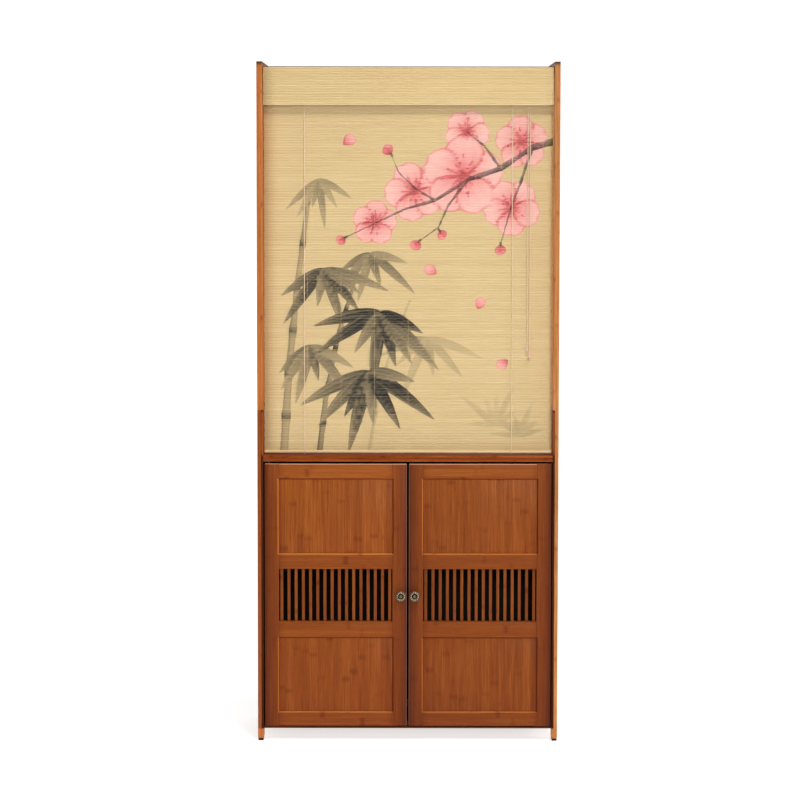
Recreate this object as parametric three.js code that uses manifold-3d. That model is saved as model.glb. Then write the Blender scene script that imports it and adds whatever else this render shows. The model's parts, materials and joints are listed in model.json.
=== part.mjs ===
// A bamboo blind with a valance, hung between the front posts of a bamboo cabinet rack.
// Millimetres, +X to the right, +Y to the back, +Z up. The origin is on the floor, under the middle
// of the rack's box. A depth is counted backwards from the front faces of the posts.

import * as THREE from "three";
import { mergeVertices } from "three/addons/utils/BufferGeometryUtils.js";
import Module from "manifold-3d";

const wasm = await Module();
wasm.setup();

// Driving dimensions

const GAP = 0.3; // left between pieces that touch

const RACK = { width: 700, depth: 300, height: 1581 };
const POST = { thick: 13.5, deep: 40 };
const PAD = { high: 5, inset: 0.7 };
const SIDE_RAIL = { high: 40 };
const SIDE_PANEL = { thick: 4.5, top: 776, setback: 4, corner: 6 };
const TOP_BOARD = { thick: 14, top: 1569.8 };
const CABINET_TOP = { thick: 14, top: 670.4, setback: 1 };
const CABINET_FLOOR = { thick: 14.4, bottom: 28.6, lipThick: 3.4, lipSetback: 3.5, lipDeep: 19.5 };
const BACK_PANEL = { thick: 4, setback: 4 };
const BOARD_BACK_SETBACK = 1;

const DOOR = { thick: 16, setback: 3, bottom: 34, sideGap: 2.5, middleGap: 4.5 };
const STILE_WIDE = 33.5;
const DOOR_PANEL = { high: 173, thick: 7, setback: 3.5, chamfer: 3 };
const GRILLE = { high: 123.5, bars: 16, pitch: 16.8, barWide: 7, barDeep: 7, setback: 5, tenon: 5 };
const PIVOT = { fromEdge: 6, fromFront: 5, radius: 2, clearance: 0.35, inDoor: 12, inBoard: 8, sides: 12 };
const KNOB = { reach: 23, sides: 24, fromEdge: 13.8 };

const BLIND = { width: 669, slatPitch: 3.8, thick: 2, slatsPerBackStep: 6 };
const GROOVE = { wide: 0.9, deep: 0.7 }; // between two slats
const VALANCE = { setback: 5, bottom: 1480.7, slats: 23 };
const HEADRAIL = { deep: 24, high: 24.7 };
const SHEET = { slats: 231 };
const BOTTOM_BAR = { wall: 3, floor: 3, slotDeep: 4, archSteps: 10 };

const CORD_RADIUS = 1;
const CORD_SIDES = 8;
const LIFT_CORD_FROM_MIDDLE = 241;
const PULL_CORD_DEPTH = 25;
const BELL = { high: 14, radius: 3.6, sides: 16 };

// The pieces of a door from its bottom to its top
const DOOR_ROWS = [
  { name: "bottom_rail", kind: "rail", high: 34.4 },
  { name: "lower_panel", kind: "panel", high: DOOR_PANEL.high },
  { name: "lower_rail", kind: "rail", high: 39.6 },
  { name: "grille", kind: "grille", high: GRILLE.high },
  { name: "upper_rail", kind: "rail", high: 36.7 },
  { name: "upper_panel", kind: "panel", high: DOOR_PANEL.high },
  { name: "top_rail", kind: "rail", high: 36.8 },
];

// How far the sheet bows backwards, at even steps from its top to its bottom
const SHEET_BOW = [
  { step: 0, back: 0 },
  { step: 1, back: -0.6 },
  { step: 2, back: 0.5 },
  { step: 3, back: -0.5 },
  { step: 4, back: 0 },
];

// The pull cords: where each hangs, and the top of its bell
const PULL_CORDS = [
  { name: "inner", x: 276.5, bellTop: 925.8 },
  { name: "outer", x: 282, bellTop: 911.3 },
];

// A knob's outline, from its foot on the door: radius and distance from the door's face
const KNOB_OUTLINE = [
  { radius: 8.5, out: 0 },
  { radius: 8.5, out: 1.4 },
  { radius: 5.6, out: 3.2 },
  { radius: 4.8, out: 8.5 },
  { radius: 6.6, out: 12.5 },
  { radius: 12.8, out: 16.2 },
  { radius: 12.8, out: 18.4 },
  { radius: 11.9, out: 19.8 },
  { radius: 10.9, out: 19.2 },
  { radius: 8.6, out: 21.2 },
  { radius: 6.8, out: 20.6 },
  { radius: 5.6, out: 20.2 },
  { radius: 4, out: 22.2 },
];

// A bell's outline: radius and height above its rim, both as shares of the bell's own
const BELL_OUTLINE = [
  { radius: 0.9, high: 0 },
  { radius: 1, high: 0.09 },
  { radius: 0.93, high: 0.22 },
  { radius: 0.72, high: 0.42 },
  { radius: 0.6, high: 0.62 },
  { radius: 0.58, high: 0.84 },
  { radius: 0.44, high: 1 },
];

// Sizes that follow

const FRONT_Y = (KNOB.reach - DOOR.setback - RACK.depth) / 2;
const OUTER_X = RACK.width / 2;
const INNER_X = OUTER_X - POST.thick;
const BOARD_X = INNER_X - GAP;
const BOARD_BACK = RACK.depth - BOARD_BACK_SETBACK;
const CABINET_TOP_UNDERSIDE = CABINET_TOP.top - CABINET_TOP.thick;
const CABINET_FLOOR_TOP = CABINET_FLOOR.bottom + CABINET_FLOOR.thick;
const TOP_BOARD_UNDERSIDE = TOP_BOARD.top - TOP_BOARD.thick;
const LIP_BACK = CABINET_FLOOR.lipSetback + CABINET_FLOOR.lipDeep;
const DOOR_WIDE = INNER_X - DOOR.sideGap - DOOR.middleGap / 2;
const DOOR_TOP = DOOR.bottom + DOOR_ROWS.reduce((sum, row) => sum + row.high, 0);
const PIVOT_X = INNER_X - DOOR.sideGap - PIVOT.fromEdge;
const PIVOT_DEPTH = DOOR.setback + PIVOT.fromFront;
const PIVOT_HOLE = PIVOT.radius + PIVOT.clearance;
const HEADRAIL_FRONT = VALANCE.setback + BLIND.thick + GAP;
const HEADRAIL_BACK = HEADRAIL_FRONT + HEADRAIL.deep;
const HEADRAIL_TOP = TOP_BOARD_UNDERSIDE - GAP;
const HEADRAIL_BOTTOM = HEADRAIL_TOP - HEADRAIL.high;
const SHEET_FRONT = HEADRAIL_BACK + GAP;
const SHEET_MIDDLE = SHEET_FRONT + BLIND.thick / 2;
const BAR_RADIUS = BLIND.thick / 2 + GAP + BOTTOM_BAR.wall;
const BAR_BOTTOM = CABINET_TOP.top + GAP + 2 * CORD_RADIUS + GAP;
const BAR_CENTRE = BAR_BOTTOM + BAR_RADIUS;
const BAR_SLOT_FLOOR = BAR_BOTTOM + BOTTOM_BAR.floor;
const SHEET_BOTTOM = BAR_SLOT_FLOOR + GAP;
const SHEET_HIGH = SHEET.slats * BLIND.slatPitch;
const LIFT_CORD_BEND = BAR_RADIUS + GAP + CORD_RADIUS;

// Materials, in the colours of the photograph

const paint = (color, roughness, metalness = 0) =>
  new THREE.MeshStandardMaterial({ color, roughness, metalness });
const MATERIAL = {
  honeyBamboo: paint(0xc4763e, 0.4),
  darkBamboo: paint(0x914e24, 0.35),
  boardBamboo: paint(0x894422, 0.35),
  slats: paint(0xdbc18f, 0.75),
  batten: paint(0xe6c691, 0.6),
  cord: paint(0xe8cdaa, 0.85),
  bell: paint(0xe1b9a5, 0.45),
  bronze: paint(0x75624f, 0.4, 0.9),
  steel: paint(0x8c8c8c, 0.35, 1),
  pad: paint(0x161412, 0.8),
};

// Shapes

const WORLD_AXES = {
  x: [new THREE.Vector3(0, 1, 0), new THREE.Vector3(0, 0, 1), new THREE.Vector3(1, 0, 0)],
  y: [new THREE.Vector3(1, 0, 0), new THREE.Vector3(0, 0, 1), new THREE.Vector3(0, -1, 0)],
};

/** Extrudes a closed outline of [y, z] points along X, or of [x, z] points along Y. */
function extrudeAlong(axis, outline, from, to) {
  const shape = new THREE.Shape(outline.map(([a, b]) => new THREE.Vector2(a, b)));
  const geometry = new THREE.ExtrudeGeometry(shape, { depth: to - from, bevelEnabled: false });
  geometry.applyMatrix4(new THREE.Matrix4().makeBasis(...WORLD_AXES[axis]));
  return axis === "x" ? geometry.translate(from, 0, 0) : geometry.translate(0, to, 0);
}

/** A box between two values on each axis, each pair in any order. */
function boxBetween([xa, xb], [ya, yb], [za, zb]) {
  const size = [Math.abs(xb - xa), Math.abs(yb - ya), Math.abs(zb - za)];
  return new THREE.BoxGeometry(...size).translate((xa + xb) / 2, (ya + yb) / 2, (za + zb) / 2);
}

/** An upright round bar. */
function uprightRod(radius, x, y, [bottom, top]) {
  const rod = new THREE.CylinderGeometry(radius, radius, top - bottom, PIVOT.sides);
  return rod.rotateX(Math.PI / 2).translate(x, y, (bottom + top) / 2);
}

function toManifold(geometry) {
  const bare = new THREE.BufferGeometry();
  bare.setAttribute("position", geometry.getAttribute("position"));
  bare.setIndex(geometry.index);
  const merged = mergeVertices(bare, 1e-4);
  return new wasm.Manifold(
    new wasm.Mesh({
      numProp: 3,
      vertProperties: new Float32Array(merged.attributes.position.array),
      triVerts: new Uint32Array(merged.index.array),
    }),
  );
}

function fromManifold(solid) {
  const { vertProperties, triVerts } = solid.getMesh();
  const geometry = new THREE.BufferGeometry();
  geometry.setAttribute("position", new THREE.BufferAttribute(new Float32Array(vertProperties), 3));
  geometry.setIndex(new THREE.BufferAttribute(new Uint32Array(triVerts), 1));
  geometry.computeVertexNormals();
  return geometry;
}

function cut(geometry, cutters) {
  const whole = toManifold(geometry);
  return fromManifold(cutters.map(toManifold).reduce((left, cutter) => left.subtract(cutter), whole));
}

function join(geometries) {
  return fromManifold(geometries.map(toManifold).reduce((sum, solid) => sum.add(solid)));
}

/** A named mesh with its own origin at the middle of its box, put in place by its position. */
function piece(name, material, geometry) {
  geometry.computeBoundingBox();
  const middle = geometry.boundingBox.getCenter(new THREE.Vector3());
  geometry.translate(-middle.x, -middle.y, -middle.z);
  const mesh = new THREE.Mesh(geometry, material.clone());
  mesh.name = name;
  mesh.position.copy(middle);
  return mesh;
}

const SIDES = [
  { name: "left", sign: -1 },
  { name: "right", sign: 1 },
];
const ENDS = [
  { name: "front", from: 0 },
  { name: "rear", from: RACK.depth - POST.deep },
];

const yOf = (depth) => FRONT_Y + depth;
const span = (from, to) => [yOf(from), yOf(to)];

// The rack

/** A post, thinned on its inner side where the cabinet's side panel is let into it. */
function postGeometry(sign, from) {
  const rebateX = INNER_X + SIDE_PANEL.thick + GAP;
  const outline = [
    [OUTER_X, PAD.high + GAP],
    [OUTER_X, RACK.height],
    [INNER_X, RACK.height],
    [INNER_X, SIDE_PANEL.top + GAP],
    [rebateX, SIDE_PANEL.top + GAP],
    [rebateX, CABINET_FLOOR.bottom - GAP],
    [INNER_X, CABINET_FLOOR.bottom - GAP],
    [INNER_X, PAD.high + GAP],
  ];
  const mirrored = outline.map(([x, z]) => [sign * x, z]);
  return extrudeAlong("y", mirrored, ...span(from, from + POST.deep));
}

function padGeometry(sign, from) {
  const across = [sign * (INNER_X + PAD.inset), sign * (OUTER_X - PAD.inset)];
  return boxBetween(across, span(from + PAD.inset, from + POST.deep - PAD.inset), [0, PAD.high]);
}

function sideRailGeometry(sign) {
  const behindFrontPost = POST.deep + GAP;
  const beforeRearPost = RACK.depth - POST.deep - GAP;
  const upright = [RACK.height - SIDE_RAIL.high, RACK.height];
  return boxBetween([sign * INNER_X, sign * OUTER_X], span(behindFrontPost, beforeRearPost), upright);
}

/** A cabinet side panel, its top front corner cut off at a slant. */
function sidePanel(name, sign) {
  const front = yOf(SIDE_PANEL.setback);
  const back = yOf(BOARD_BACK);
  const outline = [
    [front, CABINET_FLOOR.bottom],
    [back, CABINET_FLOOR.bottom],
    [back, SIDE_PANEL.top],
    [front + SIDE_PANEL.corner, SIDE_PANEL.top],
    [front, SIDE_PANEL.top - SIDE_PANEL.corner],
  ];
  const across = [sign * INNER_X, sign * (INNER_X + SIDE_PANEL.thick)].sort((a, b) => a - b);
  return piece(name, MATERIAL.darkBamboo, extrudeAlong("x", outline, ...across));
}

function pivotHoles(bottom, top) {
  return SIDES.map(({ sign }) => uprightRod(PIVOT_HOLE, sign * PIVOT_X, yOf(PIVOT_DEPTH), [bottom, top]));
}

function cabinetTop() {
  const board = boxBetween(
    [-BOARD_X, BOARD_X],
    span(CABINET_TOP.setback, BOARD_BACK),
    [CABINET_TOP_UNDERSIDE, CABINET_TOP.top],
  );
  const below = CABINET_TOP_UNDERSIDE - 1;
  const holes = pivotHoles(below, CABINET_TOP_UNDERSIDE + PIVOT.inBoard + GAP);
  return piece("cabinet_top", MATERIAL.boardBamboo, cut(board, holes));
}

/** The floor board, rebated along its front into a thin lip that the doors turn on. */
function cabinetFloor() {
  const { bottom, lipThick, lipSetback } = CABINET_FLOOR;
  const section = [
    [yOf(lipSetback), bottom],
    [yOf(BOARD_BACK), bottom],
    [yOf(BOARD_BACK), CABINET_FLOOR_TOP],
    [yOf(LIP_BACK), CABINET_FLOOR_TOP],
    [yOf(LIP_BACK), bottom + lipThick],
    [yOf(lipSetback), bottom + lipThick],
  ];
  const board = extrudeAlong("x", section, -BOARD_X, BOARD_X);
  const holes = pivotHoles(bottom - 1, bottom + lipThick + 1);
  return piece("cabinet_floor", MATERIAL.boardBamboo, cut(board, holes));
}

function backPanel() {
  const back = RACK.depth - BACK_PANEL.setback;
  const geometry = boxBetween(
    [-BOARD_X, BOARD_X],
    span(back - BACK_PANEL.thick, back),
    [CABINET_FLOOR_TOP + GAP, CABINET_TOP_UNDERSIDE - GAP],
  );
  return piece("back_panel", MATERIAL.darkBamboo, geometry);
}

function topBoard() {
  const geometry = boxBetween(
    [-BOARD_X, BOARD_X],
    span(HEADRAIL_FRONT, BOARD_BACK),
    [TOP_BOARD_UNDERSIDE, TOP_BOARD.top],
  );
  return piece("top_board", MATERIAL.honeyBamboo, geometry);
}

function rack() {
  const group = new THREE.Group();
  for (const side of SIDES) {
    for (const end of ENDS) {
      const place = `${end.name}_${side.name}`;
      group.add(piece(`post_${place}`, MATERIAL.honeyBamboo, postGeometry(side.sign, end.from)));
      group.add(piece(`foot_pad_${place}`, MATERIAL.pad, padGeometry(side.sign, end.from)));
    }
    group.add(piece(`side_rail_${side.name}`, MATERIAL.honeyBamboo, sideRailGeometry(side.sign)));
    group.add(sidePanel(`side_panel_${side.name}`, side.sign));
  }
  group.add(topBoard(), cabinetTop(), cabinetFloor(), backPanel());
  return group;
}

// A door, in a group whose origin is on its pivot. Its width is counted from its outer edge.

const doorDepth = (behindFace) => behindFace - PIVOT.fromFront;

/** The slanted edge round a panel's opening, as the shape that is cut away. */
function chamferCutter(across, upright) {
  const [left, right] = [Math.min(...across), Math.max(...across)];
  const [bottom, top] = upright;
  const corners = [
    [left, bottom],
    [right, bottom],
    [right, top],
    [left, top],
  ];
  const opening = new THREE.Shape(corners.map(([x, z]) => new THREE.Vector2(x, z)));
  const geometry = new THREE.ExtrudeGeometry(opening, {
    depth: 1,
    bevelThickness: DOOR_PANEL.chamfer,
    bevelSize: DOOR_PANEL.chamfer,
    bevelSegments: 1,
  });
  geometry.rotateX(Math.PI / 2);
  return geometry.translate(0, doorDepth(0), 0);
}

function knobGeometry(x, z) {
  const points = KNOB_OUTLINE.map(({ radius, out }) => new THREE.Vector2(radius, out));
  const closed = [new THREE.Vector2(0, 0), ...points, new THREE.Vector2(0, KNOB.reach - GAP)];
  const knob = new THREE.LatheGeometry(closed, KNOB.sides);
  return knob.rotateX(Math.PI).translate(x, doorDepth(-GAP), z);
}

/** Upright bars, joined by a strip in a groove of the rail above and of the rail below. */
function grilleGeometry(across, [bottom, top]) {
  const [left, right] = [Math.min(...across) + GAP, Math.max(...across) - GAP];
  const deep = [doorDepth(GRILLE.setback), doorDepth(GRILLE.setback + GRILLE.barDeep)];
  const firstBar = (left + right) / 2 - (GRILLE.pitch * (GRILLE.bars - 1)) / 2;
  const strips = [
    boxBetween([left, right], deep, [bottom - GRILLE.tenon, bottom]),
    boxBetween([left, right], deep, [top, top + GRILLE.tenon]),
  ];
  const bars = Array.from({ length: GRILLE.bars }, (_, i) => {
    const middle = firstBar + i * GRILLE.pitch;
    const wide = [middle - GRILLE.barWide / 2, middle + GRILLE.barWide / 2];
    return boxBetween(wide, deep, [bottom - GRILLE.tenon / 2, top + GRILLE.tenon / 2]);
  });
  return join([...strips, ...bars]);
}

function grooveCutter(across, [bottom, top]) {
  const deep = [
    doorDepth(GRILLE.setback - GAP),
    doorDepth(GRILLE.setback + GRILLE.barDeep + GAP),
  ];
  return boxBetween(across, deep, [bottom - GRILLE.tenon - GAP, top + GRILLE.tenon + GAP]);
}

function door(name, sign) {
  const group = new THREE.Group();
  group.position.set(sign * PIVOT_X, yOf(PIVOT_DEPTH), 0);
  const from = (wide) => -sign * (wide - PIVOT.fromEdge);
  const across = (a, b) => [from(a), from(b)];
  const full = [doorDepth(0), doorDepth(DOOR.thick)];
  const opening = across(STILE_WIDE, DOOR_WIDE - STILE_WIDE);

  let bottom = DOOR.bottom;
  const rows = DOOR_ROWS.map((row) => {
    const upright = [bottom, bottom + row.high];
    bottom = upright[1];
    return { ...row, upright };
  });
  const grille = rows.find((row) => row.kind === "grille");
  const chamfers = rows
    .filter((row) => row.kind === "panel")
    .map((row) => chamferCutter(opening, row.upright));
  const pins = [
    { name: "bottom_pin", upright: [CABINET_FLOOR.bottom + GAP, DOOR.bottom + PIVOT.inDoor] },
    { name: "top_pin", upright: [DOOR_TOP - PIVOT.inDoor, CABINET_TOP_UNDERSIDE + PIVOT.inBoard] },
  ];
  const pinHoles = pins.map(({ upright: [low, high] }) => {
    return uprightRod(PIVOT_HOLE, 0, 0, [low - GAP, high + GAP]);
  });
  const groove = grooveCutter(across(0, DOOR_WIDE), grille.upright);

  const add = (part, material, geometry) => group.add(piece(`${name}_${part}`, material, geometry));
  const upright = [DOOR.bottom, DOOR_TOP];
  const outerStile = boxBetween(across(0, STILE_WIDE), full, upright);
  const innerStile = boxBetween(across(DOOR_WIDE - STILE_WIDE, DOOR_WIDE), full, upright);
  add("outer_stile", MATERIAL.darkBamboo, cut(outerStile, [...chamfers, ...pinHoles]));
  add("inner_stile", MATERIAL.darkBamboo, cut(innerStile, chamfers));

  const betweenStiles = across(STILE_WIDE + GAP, DOOR_WIDE - STILE_WIDE - GAP);
  for (const row of rows) {
    if (row.kind === "rail") {
      const rail = boxBetween(betweenStiles, full, row.upright);
      add(row.name, MATERIAL.darkBamboo, cut(rail, [...chamfers, groove]));
    } else if (row.kind === "panel") {
      const deep = [doorDepth(DOOR_PANEL.setback), doorDepth(DOOR_PANEL.setback + DOOR_PANEL.thick)];
      const inside = [row.upright[0] + GAP, row.upright[1] - GAP];
      add(row.name, MATERIAL.darkBamboo, boxBetween(betweenStiles, deep, inside));
    } else {
      add(row.name, MATERIAL.darkBamboo, grilleGeometry(opening, row.upright));
    }
  }

  const knobHigh = (grille.upright[0] + grille.upright[1]) / 2;
  add("knob", MATERIAL.bronze, knobGeometry(from(DOOR_WIDE - KNOB.fromEdge), knobHigh));
  for (const pin of pins) {
    add(pin.name, MATERIAL.steel, uprightRod(PIVOT.radius, 0, 0, pin.upright));
  }
  return group;
}

// The blind

const bowCurve = new THREE.SplineCurve(SHEET_BOW.map(({ step, back }) => new THREE.Vector2(step, back)));

/** How far the sheet lies behind its straight plane at a height. */
function sheetBow(height) {
  const down = (SHEET_BOTTOM + SHEET_HIGH - height) / SHEET_HIGH;
  return bowCurve.getPoint(THREE.MathUtils.clamp(down, 0, 1)).y;
}

/** A slatted sheet: a smooth back, and a front with a slat's ridge between each two grooves. */
function slattedGeometry(frontDepth, bottom, slats, bow) {
  const pitch = BLIND.slatPitch;
  const front = [];
  for (let i = 0; i < slats; i++) {
    const low = bottom + i * pitch;
    const y = yOf(frontDepth) + bow(low + pitch / 2);
    front.push([y + GROOVE.deep, low], [y, low + GROOVE.wide / 2], [y, low + pitch - GROOVE.wide / 2]);
  }
  const top = bottom + slats * pitch;
  front.push([yOf(frontDepth) + bow(top) + GROOVE.deep, top]);
  const backSteps = Math.ceil(slats / BLIND.slatsPerBackStep);
  const back = [];
  for (let i = 0; i <= backSteps; i++) {
    const z = THREE.MathUtils.lerp(top, bottom, i / backSteps);
    back.push([yOf(frontDepth + BLIND.thick) + bow(z), z]);
  }
  return extrudeAlong("x", [...back, ...front], -BLIND.width / 2, BLIND.width / 2);
}

/** The batten on the hem: round below, with a slot above that the sheet stands in. */
function bottomBarGeometry() {
  const middle = yOf(SHEET_MIDDLE);
  const slot = BLIND.thick / 2 + GAP;
  const top = BAR_SLOT_FLOOR + BOTTOM_BAR.slotDeep;
  const arch = Array.from({ length: BOTTOM_BAR.archSteps + 1 }, (_, i) => {
    const angle = Math.PI * (1 + i / BOTTOM_BAR.archSteps);
    return [middle + BAR_RADIUS * Math.cos(angle), BAR_CENTRE + BAR_RADIUS * Math.sin(angle)];
  });
  const outline = [
    ...arch,
    [middle + BAR_RADIUS, top],
    [middle + slot, top],
    [middle + slot, BAR_SLOT_FLOOR],
    [middle - slot, BAR_SLOT_FLOOR],
    [middle - slot, top],
    [middle - BAR_RADIUS, top],
  ];
  return extrudeAlong("x", outline, -BLIND.width / 2, BLIND.width / 2);
}

/** A cord's route, which the tube meets at each of its points. */
class CordRoute extends THREE.CatmullRomCurve3 {
  getPointAt(u, target) {
    return this.getPoint(u, target);
  }

  getTangentAt(u, target) {
    return this.getTangent(u, target);
  }
}

function cordGeometry(points) {
  const ring = Array.from({ length: CORD_SIDES }, (_, i) => {
    const angle = (2 * Math.PI * (i + 0.5)) / CORD_SIDES;
    return new THREE.Vector2(CORD_RADIUS * Math.cos(angle), CORD_RADIUS * Math.sin(angle));
  });
  return new THREE.ExtrudeGeometry(new THREE.Shape(ring), {
    extrudePath: new CordRoute(points),
    steps: points.length - 1,
    bevelEnabled: false,
  });
}

/** Down in front of the sheet, round under its batten and up behind it to the top board. */
function liftCordPoints(x) {
  const frontHeights = [HEADRAIL_BOTTOM - GAP, 1400, 1250, 1100, 950, 800, 720, 690, 682];
  const backHeights = [682, 690, 720, 800, 950, 1100, 1250, 1400, TOP_BOARD_UNDERSIDE - GAP];
  const middle = yOf(SHEET_MIDDLE);
  const bend = [0, 30, 60, 90, 120, 150, 180].map((degrees) => {
    const angle = Math.PI + THREE.MathUtils.degToRad(degrees);
    const y = middle + LIFT_CORD_BEND * Math.cos(angle);
    return new THREE.Vector3(x, y, BAR_CENTRE + LIFT_CORD_BEND * Math.sin(angle));
  });
  return [
    ...frontHeights.map((z) => new THREE.Vector3(x, middle - LIFT_CORD_BEND, z)),
    ...bend,
    ...backHeights.map((z) => new THREE.Vector3(x, middle + LIFT_CORD_BEND, z)),
  ];
}

/** Straight down from the headrail to the bell. */
function pullCordPoints(x, bellTop) {
  const between = [1500, 1450, 1400, 1350, 1300, 1250, 1200, 1150, 1100, 1050, 1000, 960, 940];
  const heights = [HEADRAIL_BOTTOM - GAP, ...between, bellTop + GAP];
  return heights.map((z) => new THREE.Vector3(x, yOf(PULL_CORD_DEPTH), z));
}

function bellGeometry(x, bellTop) {
  const outline = BELL_OUTLINE.map(({ radius, high }) => {
    return new THREE.Vector2(radius * BELL.radius, high * BELL.high);
  });
  const closed = [new THREE.Vector2(0, 0), ...outline, new THREE.Vector2(0, BELL.high)];
  const bell = new THREE.LatheGeometry(closed, BELL.sides);
  return bell.rotateX(Math.PI / 2).translate(x, yOf(PULL_CORD_DEPTH), bellTop - BELL.high);
}

function blind() {
  const group = new THREE.Group();
  const wide = [-BLIND.width / 2, BLIND.width / 2];
  const flat = () => 0;
  const headrail = boxBetween(wide, span(HEADRAIL_FRONT, HEADRAIL_BACK), [HEADRAIL_BOTTOM, HEADRAIL_TOP]);
  const sheet = slattedGeometry(SHEET_FRONT, SHEET_BOTTOM, SHEET.slats, sheetBow);
  const valance = slattedGeometry(VALANCE.setback, VALANCE.bottom, VALANCE.slats, flat);
  group.add(
    piece("blind_headrail", MATERIAL.batten, headrail),
    piece("blind_sheet", MATERIAL.slats, sheet),
    piece("blind_valance", MATERIAL.slats, valance),
    piece("blind_bottom_bar", MATERIAL.batten, bottomBarGeometry()),
  );
  for (const side of SIDES) {
    const points = liftCordPoints(side.sign * LIFT_CORD_FROM_MIDDLE);
    group.add(piece(`lift_cord_${side.name}`, MATERIAL.cord, cordGeometry(points)));
  }
  for (const { name, x, bellTop } of PULL_CORDS) {
    group.add(piece(`pull_cord_${name}`, MATERIAL.cord, cordGeometry(pullCordPoints(x, bellTop))));
    group.add(piece(`pull_bell_${name}`, MATERIAL.bell, bellGeometry(x, bellTop)));
  }
  return group;
}

const blindOnRack = new THREE.Group();
blindOnRack.add(rack(), blind(), ...SIDES.map(({ name, sign }) => door(`door_${name}`, sign)));

export default blindOnRack;
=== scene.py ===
# A bamboo blind with a valance, hung between the front posts of a bamboo cabinet rack.
# Metres, +X to the right, +Y to the back, +Z up, as in the frame.

import json
import math

import bmesh
import bpy
import numpy as np
from mathutils import Matrix, Vector

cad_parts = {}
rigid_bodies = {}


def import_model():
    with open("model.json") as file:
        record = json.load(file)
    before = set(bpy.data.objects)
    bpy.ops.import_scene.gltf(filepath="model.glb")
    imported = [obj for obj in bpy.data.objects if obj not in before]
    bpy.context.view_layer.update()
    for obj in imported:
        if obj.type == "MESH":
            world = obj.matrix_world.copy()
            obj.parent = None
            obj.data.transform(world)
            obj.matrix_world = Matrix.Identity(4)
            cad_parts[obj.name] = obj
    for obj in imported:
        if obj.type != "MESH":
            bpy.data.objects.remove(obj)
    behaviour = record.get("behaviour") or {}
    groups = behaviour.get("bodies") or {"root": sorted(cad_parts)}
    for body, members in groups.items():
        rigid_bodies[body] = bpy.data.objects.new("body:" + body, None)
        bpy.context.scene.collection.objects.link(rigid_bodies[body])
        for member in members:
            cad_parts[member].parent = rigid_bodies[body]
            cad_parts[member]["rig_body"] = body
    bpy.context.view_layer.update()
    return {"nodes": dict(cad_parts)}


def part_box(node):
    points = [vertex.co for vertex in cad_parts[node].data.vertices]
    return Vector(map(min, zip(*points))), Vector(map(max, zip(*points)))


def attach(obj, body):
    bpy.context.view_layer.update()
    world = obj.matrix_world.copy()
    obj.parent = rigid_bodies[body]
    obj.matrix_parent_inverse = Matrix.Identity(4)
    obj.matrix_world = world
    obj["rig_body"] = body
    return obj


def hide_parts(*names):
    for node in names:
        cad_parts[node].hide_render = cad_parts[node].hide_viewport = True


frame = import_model()
rng = np.random.default_rng(11)

MM = 0.001


def placed(name, data):
    """An object in the scene."""
    thing = bpy.data.objects.new(name, data)
    bpy.context.scene.collection.objects.link(thing)
    return thing


# The camera, in the photograph's frame of 800 by 800 pixels

IMAGE_PX = 800
FOCAL_PX = 2880
SENSOR_MM = 36
EYE = (0, -6.798, 1.343)
AIM_DOWN = math.radians(4.66)
AIM_LEFT = math.radians(0.16)
LEAN = math.radians(0.068)


def place_camera():
    data = bpy.data.cameras.new("camera")
    data.sensor_width = SENSOR_MM
    data.lens = SENSOR_MM * FOCAL_PX / IMAGE_PX
    camera = placed("camera", data)
    turn = Matrix.Rotation(AIM_LEFT, 4, "Z") @ Matrix.Rotation(math.pi / 2 - AIM_DOWN, 4, "X")
    camera.matrix_world = Matrix.Translation(EYE) @ turn @ Matrix.Rotation(LEAN, 4, "Z")
    bpy.context.scene.camera = camera


place_camera()

# Shader tools


def linear(red, green, blue):
    """A colour of 0 to 255 as a linear one with alpha."""
    parts = [value / 255 for value in (red, green, blue)]
    return [v / 12.92 if v <= 0.04045 else ((v + 0.055) / 1.055) ** 2.4 for v in parts] + [1.0]


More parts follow.
